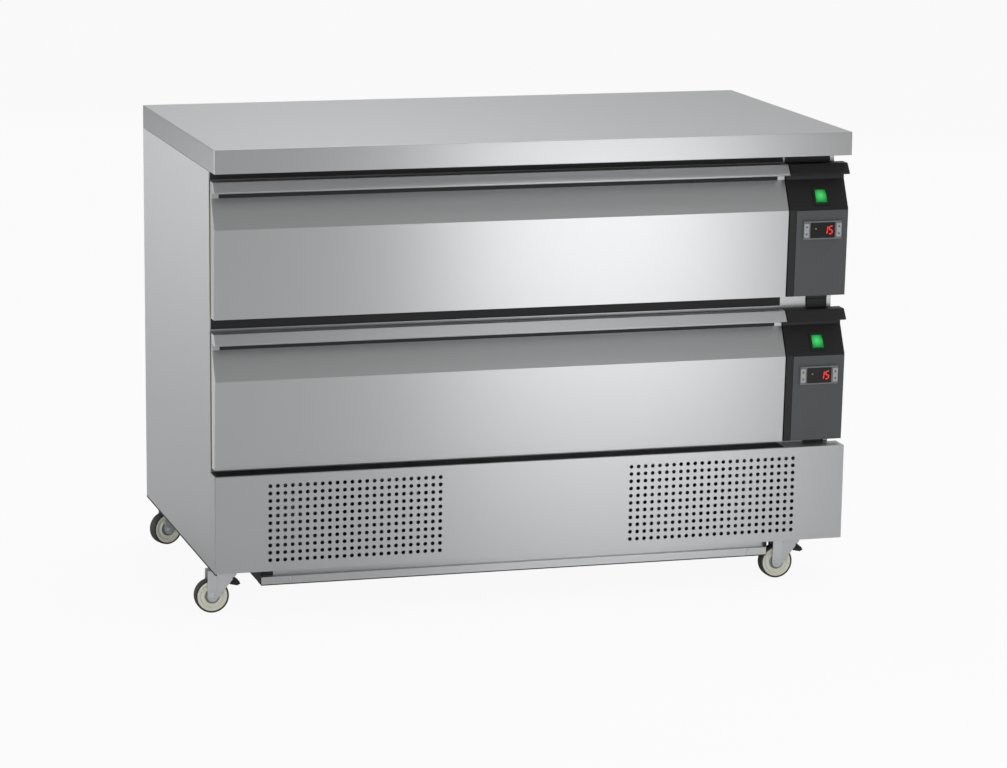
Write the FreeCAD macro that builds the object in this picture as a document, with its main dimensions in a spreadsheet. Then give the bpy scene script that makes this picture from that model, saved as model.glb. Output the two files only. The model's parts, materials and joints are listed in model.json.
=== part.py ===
"""Refrigerated counter with two full-width drawers, on four swivel casters. Millimetres, +Z up.

X runs along the front from left to right, Y from the front to the back, Z up from the floor.
The origin is on the floor, in the middle of the whole outline.
"""
import FreeCAD, Part
import os
import Sketcher

os.makedirs("parts", exist_ok=True)
doc = FreeCAD.newDocument("DrawerCounter")
Vector = FreeCAD.Vector

# Driving dimensions, one cell each
DIMENSIONS = {
    "counter_width": 1245, "counter_depth": 700, "counter_height": 885,
    "worktop_edge": 45, "worktop_sheet": 2, "worktop_lip": 20, "core_board": 18,
    "panel_sheet": 1.5, "side_clearance": 1, "right_inset": 17, "body_setback": 50,
    "caster_height": 86, "plinth_height": 186, "plinth_setback": 3, "plinth_lean": 5, "plinth_flange": 45,
    "control_width": 119, "control_gap": 2, "gap_below": 10, "gap_above": 17,
    "crease_setback": 9, "face_undercut": 9, "recess_depth": 28, "slope_rise": 56, "recess_rise": 11.5,
    "lip_rise": 20.5, "lip_setback": 5, "lip_slant": 14, "lip_wall": 3, "end_cap": 10,
    "lining_sheet": 6, "lining_margin": 8, "plug_depth": 14, "plug_margin": 8,
    "gasket_width": 14, "gasket_margin": 6, "gasket_squeeze": 0.3, "touch_gap": 0.1,
    "seal_land": 58.5, "divider": 7, "frame_sheet": 2, "frame_rise": 60, "frame_length": 560,
    "opening_head": 34, "opening_margin": 35, "liner_sheet": 2, "cavity_depth": 590, "duct_width": 74,
    "duct_sheet": 1.5, "runner_drop": 44, "runner_width": 13.5, "runner_height": 46, "runner_sheet": 1.5,
    "runner_gap": 0.6, "runner_length": 560, "front_sheet": 2, "body_overlap": 52,
    "hole_pitch": 14.3, "hole_side": 6.6, "hole_columns": 24, "hole_rows": 11, "field_margin": 101,
    "plate_inset": 14, "plate_sheet": 1.8, "housing_wall": 3, "housing_back": 4,
    "controller_width": 78, "controller_rise": 36, "controller_face": 5, "controller_drop": 39,
    "controller_depth": 26, "cutout_margin": 4, "key_width": 10, "key_rise": 27, "key_gap": 0.4,
    "window_width": 50, "window_rise": 30, "switch_width": 32, "switch_rise": 38, "switch_flange": 2,
    "switch_neck": 2, "rocker_width": 22, "rocker_rise": 27, "rocker_gap": 0.5, "neck_depth": 12,
    "wheel_diameter": 65, "wheel_width": 20, "tread_round": 3, "axle_diameter": 8, "running_gap": 0.05,
    "caster_trail": 24, "front_inset": 27, "rear_inset": 48, "right_caster_inset": 91, "caster_setback": 65,
    "caster_plate": 52, "caster_sheet": 3, "crown_diameter": 46, "crown_sheet": 4, "kingpin": 12,
    "fork_sheet": 2.5, "fork_gap": 1.5, "race_gap": 0.4,
    "tray_left": 88, "tray_right": 153, "tray_setback": 12, "tray_depth": 420, "tray_rise": 14,
    "tray_drop": 10, "coil_rise": 150, "coil_depth": 24, "fin_pitch": 16, "fin_slot": 12,
    "evaporator_length": 300, "evaporator_rise": 110, "evaporator_setback": 250, "fan_setback": 160,
    "fan_level": 62, "pipe_level": 60, "compressor_setback": 345, "pipe_clearance": 14,
    "condenser_fan": 150, "evaporator_fan": 110, "blade_count": 5, "motor_diameter": 56, "motor_length": 40,
    "compressor_diameter": 150, "compressor_rise": 140, "pipe_diameter": 8, "slot_width": 6, "slot_rise": 90,
    "slot_pitch": 22, "slot_count": 14, "gland_diameter": 24,
}
sheet = doc.addObject("Spreadsheet::Sheet", "Sizes")
for row, (name, number) in enumerate(DIMENSIONS.items(), 1):
    sheet.set(f"A{row}", name)
    sheet.set(f"B{row}", str(number))
    sheet.setAlias(f"B{row}", name)
doc.recompute()


class Size:
    """A length with its present value and the sheet expression that it comes from."""

    def __init__(self, value, text):
        self.value = float(value)
        self.text = text

    def __add__(self, other):
        other = as_size(other)
        return Size(self.value + other.value, f"({self.text} + {other.text})")

    def __sub__(self, other):
        other = as_size(other)
        return Size(self.value - other.value, f"({self.text} - {other.text})")

    def __mul__(self, other):
        other = as_size(other)
        return Size(self.value * other.value, f"({self.text} * {other.text})")

    def __truediv__(self, other):
        other = as_size(other)
        return Size(self.value / other.value, f"({self.text} / {other.text})")

    def __neg__(self):
        return Size(-self.value, f"(0 - {self.text})")

    __radd__ = __add__
    __rmul__ = __mul__

    def __rsub__(self, other):
        return as_size(other) - self


def as_size(number):
    return number if isinstance(number, Size) else Size(number, str(number))


class Dimensions:
    """Each alias of the sheet as a Size."""

    def __getattr__(self, name):
        return Size(sheet.get(name), f"Sizes.{name}")


d = Dimensions()
nodes = {}
TURN = {"XY": 1, "YZ": 1, "XZ": -1}
AXES = {"x": Vector(1, 0, 0), "-x": Vector(-1, 0, 0), "y": Vector(0, 1, 0), "z": Vector(0, 0, 1)}


def bind(thing, path, size):
    thing.setExpression(path, as_size(size).text)


def place(thing, at, axis=None, angle=None):
    """Puts thing at three Sizes, turned by angle (a Size in degrees) about axis."""
    if axis is not None:
        thing.Placement = FreeCAD.Placement(Vector(0, 0, 0), FreeCAD.Rotation(AXES[axis], 10))
        bind(thing, "Placement.Rotation.Angle", angle)
    for letter, size in zip("xyz", at):
        bind(thing, f"Placement.Base.{letter}", size)
    return thing


def plain_name(label):
    return label.replace("-", "_").replace(" ", "_")


def body(label):
    return doc.addObject("PartDesign::Body", plain_name(label))


def sketch_on(owner, plane, start=0):
    """Empty sketch on one of the body's own origin planes, moved along +X, +Y or +Z by start."""
    sketch = owner.newObject("Sketcher::SketchObject", f"{owner.Name}_sketch")
    base = [f for f in owner.Origin.OriginFeatures if f.Role == f"{plane}_Plane"][0]
    sketch.AttachmentSupport = (base, [""])
    sketch.MapMode = "FlatFace"
    if as_size(start).text != "0":
        bind(sketch, "AttachmentOffset.Base.z", as_size(start) * TURN[plane])
    return sketch


def hold(sketch, kind, geometry, point, size):
    """Holds one point of the sketch at a distance from the sketch origin."""
    size = as_size(size)
    index = sketch.addConstraint(Sketcher.Constraint(kind, -1, 1, geometry, point, size.value))
    sketch.setExpression(f"Constraints[{index}]", size.text)


def polygon(owner, plane, corners, start=0):
    """Closed straight-sided outline whose corners are held by Sizes."""
    sketch = sketch_on(owner, plane, start)
    add_loop(sketch, corners)
    return sketch


def add_loop(sketch, corners):
    first = len(sketch.Geometry)
    count = len(corners)
    points = [Vector(as_size(a).value, as_size(b).value, 0) for a, b in corners]
    for i in range(count):
        sketch.addGeometry(Part.LineSegment(points[i], points[(i + 1) % count]), False)
    for i in range(count):
        link = Sketcher.Constraint("Coincident", first + i, 2, first + (i + 1) % count, 1)
        sketch.addConstraint(link)
    for i, corner in enumerate(corners):
        hold(sketch, "DistanceX", first + i, 1, corner[0])
        hold(sketch, "DistanceY", first + i, 1, corner[1])


def circle(owner, plane, centre, radius, start=0):
    sketch = sketch_on(owner, plane, start)
    middle = Vector(as_size(centre[0]).value, as_size(centre[1]).value, 0)
    sketch.addGeometry(Part.Circle(middle, Vector(0, 0, 1), as_size(radius).value), False)
    hold(sketch, "DistanceX", 0, 3, centre[0])
    hold(sketch, "DistanceY", 0, 3, centre[1])
    index = sketch.addConstraint(Sketcher.Constraint("Radius", 0, as_size(radius).value))
    sketch.setExpression(f"Constraints[{index}]", as_size(radius).text)
    return sketch


def rectangle(low, high):
    return [(low[0], low[1]), (high[0], low[1]), (high[0], high[1]), (low[0], high[1])]


def pad(owner, plane, sketch, length):
    """Adds material from the sketch towards +X, +Y or +Z."""
    feature = owner.newObject("PartDesign::Pad", f"{owner.Name}_pad")
    feature.Profile = sketch
    feature.Reversed = TURN[plane] < 0
    bind(feature, "Length", length)
    sketch.Visibility = False
    doc.recompute()
    return feature


def pocket(owner, plane, sketch, length):
    """Removes material from the sketch towards +X, +Y or +Z."""
    before = owner.Shape.Volume
    feature = owner.newObject("PartDesign::Pocket", f"{owner.Name}_pocket")
    feature.Profile = sketch
    feature.Reversed = TURN[plane] > 0
    bind(feature, "Length", length)
    doc.recompute()
    if owner.Shape.Volume >= before:
        raise RuntimeError(f"{owner.Name}: the pocket removed nothing")
    return feature


def ring_of(owner, feature, count):
    """Repeats a feature evenly round the body's Z axis."""
    pattern = owner.newObject("PartDesign::PolarPattern", f"{owner.Name}_ring")
    pattern.Originals = [feature]
    base = [f for f in owner.Origin.OriginFeatures if f.Role == "Z_Axis"][0]
    pattern.Axis = (base, [""])
    pattern.Angle = 360
    bind(pattern, "Occurrences", count)
    owner.Tip = pattern
    doc.recompute()
    return pattern


def turned(owner, corners, axis="Y"):
    """Turns an outline of (y, radius) corners about the body's Y axis, or of (radius, z) about its Z axis."""
    feature = owner.newObject("PartDesign::Revolution", f"{owner.Name}_turn")
    feature.Profile = polygon(owner, "YZ" if axis == "Y" else "XZ", corners)
    base = [f for f in owner.Origin.OriginFeatures if f.Role == f"{axis}_Axis"][0]
    feature.ReferenceAxis = (base, [""])
    feature.Angle = 360
    doc.recompute()
    return feature


def row_of(owner, feature, axis, length, count):
    """Repeats a feature along one of the body's own axes."""
    pattern = owner.newObject("PartDesign::LinearPattern", f"{owner.Name}_row")
    pattern.Originals = [feature]
    base = [f for f in owner.Origin.OriginFeatures if f.Role == f"{axis}_Axis"][0]
    pattern.Direction = (base, [""])
    bind(pattern, "Length", length)
    bind(pattern, "Occurrences", count)
    owner.Tip = pattern
    doc.recompute()
    return pattern


def block(name, at, size):
    """Plain box with its low corner at three Sizes."""
    box = doc.addObject("Part::Box", plain_name(name))
    for path, length in zip(("Length", "Width", "Height"), size):
        bind(box, path, length)
    return place(box, at)


def rod(name, axis, at, radius, length):
    """Cylinder that starts at three Sizes and runs along +X, +Y or +Z."""
    cylinder = doc.addObject("Part::Cylinder", plain_name(name))
    bind(cylinder, "Radius", radius)
    bind(cylinder, "Height", length)
    if axis == "x":
        cylinder.Placement = FreeCAD.Placement(Vector(0, 0, 0), FreeCAD.Rotation(AXES["y"], 90))
    if axis == "y":
        cylinder.Placement = FreeCAD.Placement(Vector(0, 0, 0), FreeCAD.Rotation(AXES["x"], -90))
    return place(cylinder, at)


def cut(name, base, *tools):
    tool = tools[0] if len(tools) == 1 else fuse(f"{name}_tools", *tools)
    result = doc.addObject("Part::Cut", plain_name(name))
    result.Base = base
    result.Tool = tool
    return result


def fuse(name, *pieces):
    result = doc.addObject("Part::MultiFuse", plain_name(name))
    result.Shapes = list(pieces)
    return result


def group(name, *pieces):
    """Several separate solids that share one node."""
    result = doc.addObject("Part::Compound", plain_name(name))
    result.Links = list(pieces)
    return result


def node(label, thing):
    thing.Label = label
    nodes[label] = thing
    return thing


# Places that several pieces share
wheel_reach = d.caster_trail + d.wheel_diameter / 2 - d.front_inset
left = -(d.counter_width - wheel_reach) / 2
front = -d.counter_depth / 2
back = d.counter_depth / 2
right = left + d.counter_width
base_bottom = d.caster_height
base_top = d.caster_height + d.plinth_height
under_top = d.counter_height - d.worktop_edge
pitch = (under_top - base_top) / 2
body_front = front + d.body_setback
side_right = right - d.right_inset
drawer_left = left + d.side_clearance
drawer_rise = pitch - d.gap_below - d.gap_above
drawer_width = d.counter_width - d.side_clearance * 2 - d.control_gap - d.control_width
opening_width = drawer_width - d.seal_land * 2
opening_left = drawer_left + d.seal_land
opening_right = opening_left + opening_width
opening_rise = drawer_rise - d.opening_margin - d.opening_head
bay_width = (opening_width - d.divider * 2 - d.frame_sheet * 2 - d.runner_width * 2) / 3
control_left = drawer_left + drawer_width + d.control_gap
body_right = control_left + d.body_overlap
crease_rise = drawer_rise - d.lip_rise - d.recess_rise - d.slope_rise
cavity_back = body_front + d.cavity_depth
LEVELS = {"lower": base_top + d.gap_below, "upper": base_top + pitch + d.gap_below}


# Worktop: a folded pan with a hemmed lip under its edge, stiffened by a board
top = body("worktop")
pad(top, "XY", polygon(top, "XY", rectangle((0, 0), (d.counter_width, d.counter_depth))), d.worktop_edge)
inside = rectangle((d.worktop_sheet, d.worktop_sheet),
                   (d.counter_width - d.worktop_sheet, d.counter_depth - d.worktop_sheet))
pocket(top, "XY", polygon(top, "XY", inside, d.worktop_sheet), d.worktop_edge - d.worktop_sheet * 2)
mouth = rectangle((d.worktop_lip, d.worktop_lip),
                  (d.counter_width - d.worktop_lip, d.counter_depth - d.worktop_lip))
pocket(top, "XY", polygon(top, "XY", mouth), d.worktop_sheet)
node("worktop", place(top, (left, front, under_top)))

board_inset = d.worktop_sheet + d.touch_gap
node("worktop_core", block("worktop_core",
     (left + board_inset, front + board_inset, d.counter_height - d.worktop_sheet - d.core_board),
     (d.counter_width - board_inset * 2, d.counter_depth - board_inset * 2, d.core_board)))


# Side panels: the left one is flush with the worktop and runs forward beside the plinth
def side_panel(label, x, foot_setback):
    """Sheet with a front flange above the plinth; the foot of the sheet may reach further forward."""
    panel = body(label)
    foot = foot_setback
    rise = under_top - base_bottom
    outline = [(foot, 0), (d.counter_depth, 0), (d.counter_depth, rise), (d.body_setback, rise),
               (d.body_setback, d.plinth_height), (foot, d.plinth_height)]
    pad(panel, "YZ", polygon(panel, "YZ", outline), d.panel_sheet)
    return place(panel, (x, front, base_bottom))


left_foot = d.plinth_setback + d.plinth_lean + d.panel_sheet * 2
node("side_panel_left", side_panel("side_panel_left", left, left_foot))
right_sheet = block("side_panel_right_sheet", (side_right - d.panel_sheet, body_front, base_bottom),
                    (d.panel_sheet, d.counter_depth - d.body_setback, under_top - base_bottom))
flange_width = 10
right_flange = block("side_panel_right_flange", (side_right - flange_width, body_front, base_top),
                     (as_size(flange_width), d.panel_sheet, under_top - base_top))
node("side_panel_right", fuse("side_panel_right", right_sheet, right_flange))


# Back panel: sheet between the sides, with two rows of air slots behind the machinery
inner_left = left + d.panel_sheet
inner_width = side_right - d.panel_sheet - inner_left
rear = body("back_panel")
pad(rear, "XZ", polygon(rear, "XZ", rectangle((0, 0), (inner_width, under_top - base_bottom))), d.panel_sheet)
for side in (-1, 1):
    slot_span = d.slot_pitch * (d.slot_count - 1) + d.slot_width
    first = inner_width / 2 + side * inner_width / 4 - slot_span / 2
    slot = rectangle((first, 50), (first + d.slot_width, 50 + d.slot_rise))
    hole = pocket(rear, "XZ", polygon(rear, "XZ", slot), d.panel_sheet)
    row_of(rear, hole, "X", d.slot_pitch * (d.slot_count - 1), d.slot_count)
gland_x = inner_width - 90
pocket(rear, "XZ", circle(rear, "XZ", (gland_x, 40), d.gland_diameter / 2 - 4), d.panel_sheet)
node("back_panel", place(rear, (inner_left, back - d.panel_sheet, base_bottom)))

# Mains cable gland: hexagon nut outside, stub through the sheet
stub = rod("gland_stub", "y", (inner_left + gland_x, back - d.panel_sheet - 8, base_bottom + 40),
           d.gland_diameter / 2 - 4 - d.touch_gap, d.panel_sheet + 8)
nut = rod("gland_nut", "y", (inner_left + gland_x, back - d.panel_sheet - 8, base_bottom + 40),
          d.gland_diameter / 2, as_size(8))
node("cable_gland", fuse("cable_gland", stub, nut))


# Base pan: floor of the machine space, turned up at both sides
pan = body("base_pan")
upstand = 24
pan_outline = [(0, 0), (inner_width, 0), (inner_width, upstand), (inner_width - d.front_sheet, upstand),
               (inner_width - d.front_sheet, d.front_sheet), (d.front_sheet, d.front_sheet),
               (d.front_sheet, upstand), (0, upstand)]
pan_setback = d.plinth_setback + d.plinth_lean + d.panel_sheet * 2
pad(pan, "XZ", polygon(pan, "XZ", pan_outline), d.counter_depth - pan_setback - d.panel_sheet)
node("base_pan", place(pan, (inner_left, front + pan_setback, base_bottom)))


# Plinth panel: leaning front sheet with two slotted fields, a top ledge and a right return.
# One upright slot stands for each column of punched holes.
lean = Size(0, f"atan({d.plinth_lean.text} / {d.plinth_height.text})")
field_width = d.hole_pitch * (d.hole_columns - 1)
field_rise = d.hole_pitch * (d.hole_rows - 1)
field_low = (d.plinth_height - field_rise - d.hole_side) / 2
field_starts = (d.field_margin, d.counter_width - d.field_margin - field_width - d.hole_side)


grille = body("plinth_sheet")
pad(grille, "XZ", polygon(grille, "XZ", rectangle((0, 0), (d.counter_width, d.plinth_height))), d.panel_sheet)
for first in field_starts:
    slot = rectangle((first, field_low), (first + d.hole_side, field_low + field_rise + d.hole_side))
    column = pocket(grille, "XZ", polygon(grille, "XZ", slot), d.panel_sheet)
    row_of(grille, column, "X", field_width, d.hole_columns)
place(grille, (left, front + d.plinth_setback + d.plinth_lean, base_bottom), "x", lean)
ledge_setback = d.plinth_setback + d.touch_gap * 5
ledge = block("plinth_ledge", (inner_left, front + ledge_setback, base_top - d.panel_sheet),
              (right - inner_left, d.plinth_flange - ledge_setback, d.panel_sheet))
return_front = d.plinth_setback + d.plinth_lean
return_sheet = block("plinth_return", (right - d.panel_sheet, front + return_front, base_bottom),
                     (d.panel_sheet, d.plinth_flange - return_front, d.plinth_height))
node("plinth_panel", fuse("plinth_panel", grille, ledge, return_sheet))


# Front frame: sheet around the two drawer openings
surround = body("front_frame")
surround_size = (body_right - inner_left - d.panel_sheet, under_top - base_top - d.touch_gap)
pad(surround, "XZ", polygon(surround, "XZ", rectangle((0, 0), surround_size)), d.front_sheet)
for level in LEVELS.values():
    low = (opening_left - inner_left, level - base_top + d.opening_margin)
    high = (low[0] + opening_width, low[1] + opening_rise)
    pocket(surround, "XZ", polygon(surround, "XZ", rectangle(low, high)), d.front_sheet)
node("front_frame", place(surround, (inner_left, body_front, base_top)))


# Cold compartments: open-fronted liners, wider than the drawers at the right to hold the evaporators
liner_front = body_front + d.front_sheet
liner_width = opening_width + d.duct_width + d.liner_sheet * 2
liner_rise = opening_rise + d.liner_sheet * 2
liner_depth = cavity_back - liner_front
duct_right = opening_right + d.duct_width
pipe_rise = d.opening_margin + d.pipe_level
PIPE_DEPTHS = {"lower": (320, 345), "upper": (370, 395)}


def liner(name, level, depths):
    case = body(f"{name}_liner")
    pad(case, "XZ", polygon(case, "XZ", rectangle((0, 0), (liner_width, liner_rise))), liner_depth)
    low = (d.liner_sheet, d.liner_sheet)
    high = (liner_width - d.liner_sheet, liner_rise - d.liner_sheet)
    pocket(case, "XZ", polygon(case, "XZ", rectangle(low, high)), liner_depth - d.liner_sheet)
    for depth in depths:
        centre = (front + depth - liner_front, d.liner_sheet + pipe_rise - d.opening_margin)
        drill = circle(case, "YZ", centre, d.pipe_diameter / 2 + 0.5, liner_width - d.liner_sheet)
        pocket(case, "YZ", drill, d.liner_sheet)
    return place(case, (opening_left - d.liner_sheet, liner_front, level + d.opening_margin - d.liner_sheet))


node("liners", group("liners", *[liner(name, level, PIPE_DEPTHS[name]) for name, level in LEVELS.items()]))


# Foam insulation around both compartments, drilled for the refrigerant pipes
foam = block("foam", (inner_left, liner_front, base_top),
             (body_right - inner_left, back - d.panel_sheet - liner_front,
              under_top - base_top - d.touch_gap))
hollows = []
for name, level in LEVELS.items():
    corner = (opening_left - d.liner_sheet, liner_front, level + d.opening_margin - d.liner_sheet)
    hollows.append(block(f"{name}_hollow", corner, (liner_width, liner_depth, liner_rise)))
    for depth in PIPE_DEPTHS[name]:
        hollows.append(rod(f"{name}_drill_{depth}", "x",
                           (duct_right, front + depth, level + pipe_rise),
                           d.pipe_diameter / 2 + 0.5, body_right - duct_right))
node("insulation", cut("insulation", foam, *hollows))


# Telescopic runners: three nested channels on each side of each drawer
runner_rise = d.opening_margin + opening_rise - d.runner_drop
runner_front = d.body_setback + 10
MEMBERS = {"cabinet": 0, "middle": 1, "drawer": 2}


def channel(name, level, member, side):
    """One channel; the cabinet and middle ones open towards the drawer, the drawer's towards the wall."""
    step = d.runner_sheet + d.runner_gap
    nest = MEMBERS[member]
    half = d.runner_height / 2 - step * nest
    near = step * nest
    tip = near + d.runner_sheet
    web, lips = (near, d.runner_width - d.runner_sheet - d.runner_gap * (nest if nest < 2 else 0))
    if member == "drawer":
        web, lips = d.runner_width, near
        tip = d.runner_width - d.runner_sheet
    outline = [(web, -half), (lips, -half), (lips, d.runner_sheet - half), (tip, d.runner_sheet - half),
               (tip, half - d.runner_sheet), (lips, half - d.runner_sheet), (lips, half), (web, half)]
    if side == "right":
        outline = [(-as_size(a), b) for a, b in outline]
    rail = body(f"{name}_{member}_{side}")
    pad(rail, "XZ", polygon(rail, "XZ", outline), d.runner_length)
    wall = opening_left if side == "left" else opening_right
    return place(rail, (wall, front + runner_front, level + runner_rise))


rails = []
for name, level in LEVELS.items():
    rails += [channel(name, level, "cabinet", side) for side in ("left", "right")]
node("cabinet_runners", group("cabinet_runners", *rails))
for name, level in LEVELS.items():
    pair = [channel(name, level, "middle", side) for side in ("left", "right")]
    node(f"{name}_mid_runners", group(f"{name}_mid_runners", *pair))


# Air ducts at the right of each compartment: cover with fan hole and return slots, finned evaporator
fan_depth = d.fan_setback
fan_rise = d.opening_margin + d.fan_level
evaporator_width = d.duct_width - 10


def duct_cover(name, level):
    cover = body(f"{name}_duct_cover")
    length = liner_depth - d.liner_sheet
    pad(cover, "YZ", polygon(cover, "YZ", rectangle((0, 0), (length, opening_rise))), d.duct_sheet)
    centre = (front + fan_depth - liner_front, fan_rise - d.opening_margin)
    pocket(cover, "YZ", circle(cover, "YZ", centre, d.evaporator_fan / 2 + 2), d.duct_sheet)
    slot = rectangle((400, 20), (408, 100))
    row_of(cover, pocket(cover, "YZ", polygon(cover, "YZ", slot), d.duct_sheet), "Y", 100, 6)
    return place(cover, (opening_right, liner_front, level + d.opening_margin))


def finned_block(name, width, depth, rise, pitch, slot, count):
    """Block whose air slots leave thin upright fins between its top and bottom plates."""
    coil = body(name)
    pad(coil, "XZ", polygon(coil, "XZ", rectangle((0, 0), (width, rise))), depth)
    first = (width - pitch * (count - 1) - slot) / 2
    gap = rectangle((first, 8), (first + slot, rise - 8))
    row_of(coil, pocket(coil, "XZ", polygon(coil, "XZ", gap), depth), "X", pitch * (count - 1), count)
    return coil


def evaporator(name, level):
    coil = finned_block(f"{name}_evaporator", evaporator_width, d.evaporator_length, d.evaporator_rise,
                        as_size(12), as_size(8), as_size(5))
    spot = front + d.evaporator_setback
    return place(coil, (duct_right - evaporator_width, spot, level + d.opening_margin))


node("duct_covers", group("duct_covers", *[duct_cover(*item) for item in LEVELS.items()]))
node("evaporators", group("evaporators", *[evaporator(*item) for item in LEVELS.items()]))


# Machinery in the base: one condenser, fan, motor and compressor behind each field of holes
field_half = (field_width + d.hole_side) / 2
CENTRES = {"lower": right - d.field_margin - field_half, "upper": left + d.field_margin + field_half}
floor = base_bottom + d.front_sheet
coil_width = d.fin_pitch * 20
coil_front = 30
coil_back = coil_front + d.coil_depth
shroud_width = coil_width + 16
shroud_rise = d.coil_rise + 20
fan_height = floor + shroud_rise / 2
shroud_depth = 24
fan_front = coil_back + 16
motor_front = fan_front + 22


def condenser(name, centre):
    coil = finned_block(f"{name}_condenser", coil_width, d.coil_depth, d.coil_rise, d.fin_pitch, d.fin_slot,
                        as_size(19))
    return place(coil, (centre - coil_width / 2, front + coil_front, floor))


def shroud(name, centre):
    """Tray with a round hole for the fan, and a bracket that carries the motor."""
    tray = body(f"{name}_shroud")
    pad(tray, "XZ", polygon(tray, "XZ", rectangle((0, 0), (shroud_width, shroud_rise))), shroud_depth)
    low = (d.panel_sheet, d.panel_sheet)
    high = (shroud_width - d.panel_sheet, shroud_rise - d.panel_sheet)
    pocket(tray, "XZ", polygon(tray, "XZ", rectangle(low, high)), shroud_depth - d.panel_sheet)
    mouth = circle(tray, "XZ", (shroud_width / 2, shroud_rise / 2), d.condenser_fan / 2 + 3)
    pocket(tray, "XZ", mouth, shroud_depth)
    place(tray, (centre - shroud_width / 2, front + coil_back, floor))
    arm = body(f"{name}_arm")
    reach = motor_front + d.motor_length - coil_back - shroud_depth
    outline = [(0, 0), (3, 0), (3, reach), (shroud_width - 3, reach), (shroud_width - 3, 0),
               (shroud_width, 0), (shroud_width, reach + 3), (0, reach + 3)]
    pad(arm, "XY", polygon(arm, "XY", outline), 16)
    place(arm, (centre - shroud_width / 2, front + coil_back + shroud_depth, fan_height - 8))
    return fuse(f"{name}_shroud_and_arm", tray, arm)


def compressor(name, centre):
    radius = d.compressor_diameter / 2
    spot = front + d.compressor_setback
    foot = block(f"{name}_foot", (centre - radius, spot - 50, floor), (d.compressor_diameter, 100, 6))
    shell = body(f"{name}_shell")
    rise = d.compressor_rise
    turned(shell, [(0, 6), (radius, 6), (radius, rise - 30), (radius - 14, rise - 8),
                   (radius - 40, rise), (0, rise)], "Z")
    place(shell, (centre, spot, floor))
    return fuse(f"{name}_compressor", foot, shell)


def motors():
    """Condenser fan motors stand on the shroud arms, evaporator fan motors on the liner walls."""
    pieces = []
    half = d.motor_diameter / 2
    for name, centre in CENTRES.items():
        can = rod(f"{name}_can", "y", (centre, front + motor_front, fan_height), half, d.motor_length)
        pin = rod(f"{name}_pin", "y", (centre, front + motor_front - 14, fan_height), as_size(3), as_size(15))
        pieces.append(fuse(f"{name}_motor", can, pin))
    for name, level in LEVELS.items():
        spot = (opening_right + 30, front + fan_depth, level + fan_rise)
        can = rod(f"{name}_cold_can", "x", spot, half * 0.8, d.duct_width - 30)
        pin = rod(f"{name}_cold_pin", "x", (spot[0] - 14, spot[1], spot[2]), as_size(3), as_size(15))
        pieces.append(fuse(f"{name}_cold_motor", can, pin))
    return group("fan_motors", *pieces)


node("condensers", group("condensers", *[condenser(*item) for item in CENTRES.items()]))
node("fan_shrouds", group("fan_shrouds", *[shroud(*item) for item in CENTRES.items()]))
node("compressors", group("compressors", *[compressor(*item) for item in CENTRES.items()]))
node("fan_motors", motors())


def fan(label, diameter, at, axis):
    """Hub with pitched blades, drilled for the motor shaft from behind."""
    wheel = body(label)
    hub = diameter / 6
    pad(wheel, "XY", circle(wheel, "XY", (0, 0), hub), 18)
    blade = polygon(wheel, "XZ", [(-12, 2), (12, 13), (12, 15), (-12, 4)], hub - 3)
    ring_of(wheel, pad(wheel, "XZ", blade, diameter / 2 - hub), d.blade_count)
    pocket(wheel, "XY", circle(wheel, "XY", (0, 0), 3 + d.running_gap, 6), 12)
    turn = "-x" if axis == "y" else "y"
    return node(label, place(wheel, at, turn, Size(90, "90")))


for name, centre in CENTRES.items():
    fan(f"{name}_condenser_fan", d.condenser_fan, (centre, front + fan_front, fan_height), "y")
for name, level in LEVELS.items():
    fan(f"{name}_evaporator_fan", d.evaporator_fan,
        (opening_right + 8, front + fan_depth, level + fan_rise), "x")


# Refrigerant pipes: discharge round the shroud, liquid and suction lines up the right-hand column
def pipe(name, corners):
    """Straight runs between corners that each differ in one direction only."""
    runs = []
    half = d.pipe_diameter / 2
    for i, (a, b) in enumerate(zip(corners, corners[1:])):
        axis = [k for k in range(3) if as_size(a[k]).value != as_size(b[k]).value][0]
        low, high = (a, b) if as_size(a[axis]).value < as_size(b[axis]).value else (b, a)
        start = [as_size(v) for v in low]
        end = as_size(high[axis])
        if low is not corners[0] and low is not corners[-1]:
            start[axis] = start[axis] - half
        if high is not corners[0] and high is not corners[-1]:
            end = end + half
        runs.append(rod(f"{name}_run{i}", "xyz"[axis], tuple(start), half, end - start[axis]))
    return fuse(name, *runs)


riser = side_right - 28
pipes = []
for name, centre in CENTRES.items():
    evaporator_height = LEVELS[name] + pipe_rise
    suction, liquid = (front + depth for depth in PIPE_DEPTHS[name])
    high_run, low_run = base_top - 10, base_top - 22
    pipes.append(pipe(f"{name}_suction", [
        (centre, suction, floor + d.compressor_rise), (centre, suction, high_run),
        (riser, suction, high_run), (riser, suction, evaporator_height),
        (duct_right, suction, evaporator_height)]))
    coil_middle = front + coil_front + d.coil_depth / 2
    outlet = floor + d.coil_rise - 24
    passage = centre + shroud_width / 2 + d.pipe_clearance
    pipes.append(pipe(f"{name}_liquid", [
        (centre + coil_width / 2, coil_middle, outlet), (passage, coil_middle, outlet),
        (passage, liquid, outlet), (passage, liquid, low_run), (riser, liquid, low_run),
        (riser, liquid, evaporator_height), (duct_right, liquid, evaporator_height)]))
    bypass = centre - shroud_width / 2 - d.pipe_clearance
    inlet = floor + 24
    shell_middle = front + d.compressor_setback
    pipes.append(pipe(f"{name}_discharge", [
        (centre - d.compressor_diameter / 2, shell_middle, inlet), (bypass, shell_middle, inlet),
        (bypass, coil_middle, inlet), (centre - coil_width / 2, coil_middle, inlet)]))
node("refrigerant_pipes", group("refrigerant_pipes", *pipes))


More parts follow.
